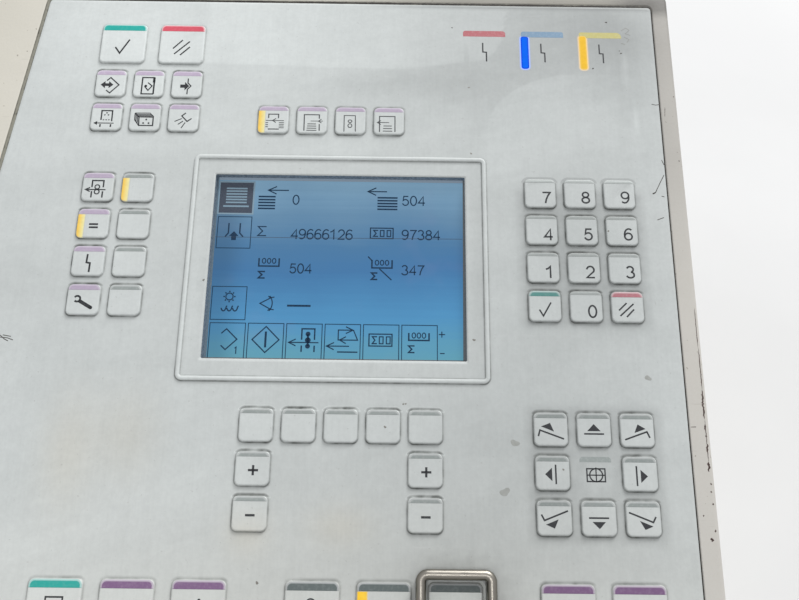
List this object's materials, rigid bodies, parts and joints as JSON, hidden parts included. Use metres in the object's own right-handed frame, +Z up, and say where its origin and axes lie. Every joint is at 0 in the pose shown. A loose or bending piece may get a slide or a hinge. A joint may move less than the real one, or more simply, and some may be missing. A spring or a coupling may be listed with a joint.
{
  "type": "printing press control panel",
  "caption": "Wedge-shaped desk console with a sloping keypad foil of embossed keys, a recessed screen in a raised bead, light bars and a collar round one key.",
  "frame": {"origin": "middle of the overall outline seen from above, on the underside of the base plate", "axes": "+X to the operator's right, +Y away from the operator, +Z up"},
  "size_m": [0.4076, 0.3356, 0.2249],
  "materials": {
    "cream_paint": "semi-gloss cream enamel with chipped edges",
    "base_zinc": "zinc-plated sheet steel",
    "seal_rubber": "matt dark grey",
    "carrier_metal": "satin",
    "foil": "fine matt textured polyester foil, pale grey, smudged",
    "key_foil": "fine matt embossed foil, pale grey",
    "module_black": "matt",
    "screen": "blue backlit liquid-crystal screen behind clear glass",
    "collar_steel": "polished stainless bar, lightly scratched",
    "lamp_amber": "lit amber light bar",
    "lamp_blue": "lit blue light bar",
    "lamp_clear": "unlit light bar under the foil",
    "print_dark": "dark grey screen print",
    "print_green": "green screen print",
    "print_red": "red screen print",
    "print_lilac": "lilac screen print",
    "print_grey": "grey screen print"
  },
  "bodies": {
    "root": {"base_plate": "base_zinc", "front_wall": "cream_paint", "back_wall": "cream_paint", "left_wall": "cream_paint", "right_wall": "cream_paint", "rear_cover": "cream_paint", "cover_screws": "base_zinc", "face_frame": "cream_paint", "frame_seal": "seal_rubber", "carrier_plate": "carrier_metal", "keypad_foil": "foil", "display_module": "module_black", "display_glass": "screen", "display_bead": "foil", "confirm_key": "key_foil", "cancel_key": "key_foil", "program_keys": "key_foil", "infeed_keys": "key_foil", "function_keys": "key_foil", "side_soft_keys": "key_foil", "number_keys": "key_foil", "number_confirm_key": "key_foil", "number_cancel_key": "key_foil", "screen_keys": "key_foil", "plus_keys": "key_foil", "minus_keys": "key_foil", "direction_keys": "key_foil", "left_run_keys": "key_foil", "drive_keys": "key_foil", "guarded_key": "key_foil", "guard_collar": "collar_steel", "right_run_keys": "key_foil", "key_lamps": "lamp_amber", "red_status_lamp": "lamp_clear", "blue_status_lamp": "lamp_blue", "yellow_status_lamp": "lamp_amber"}
  },
  "joints": []
}
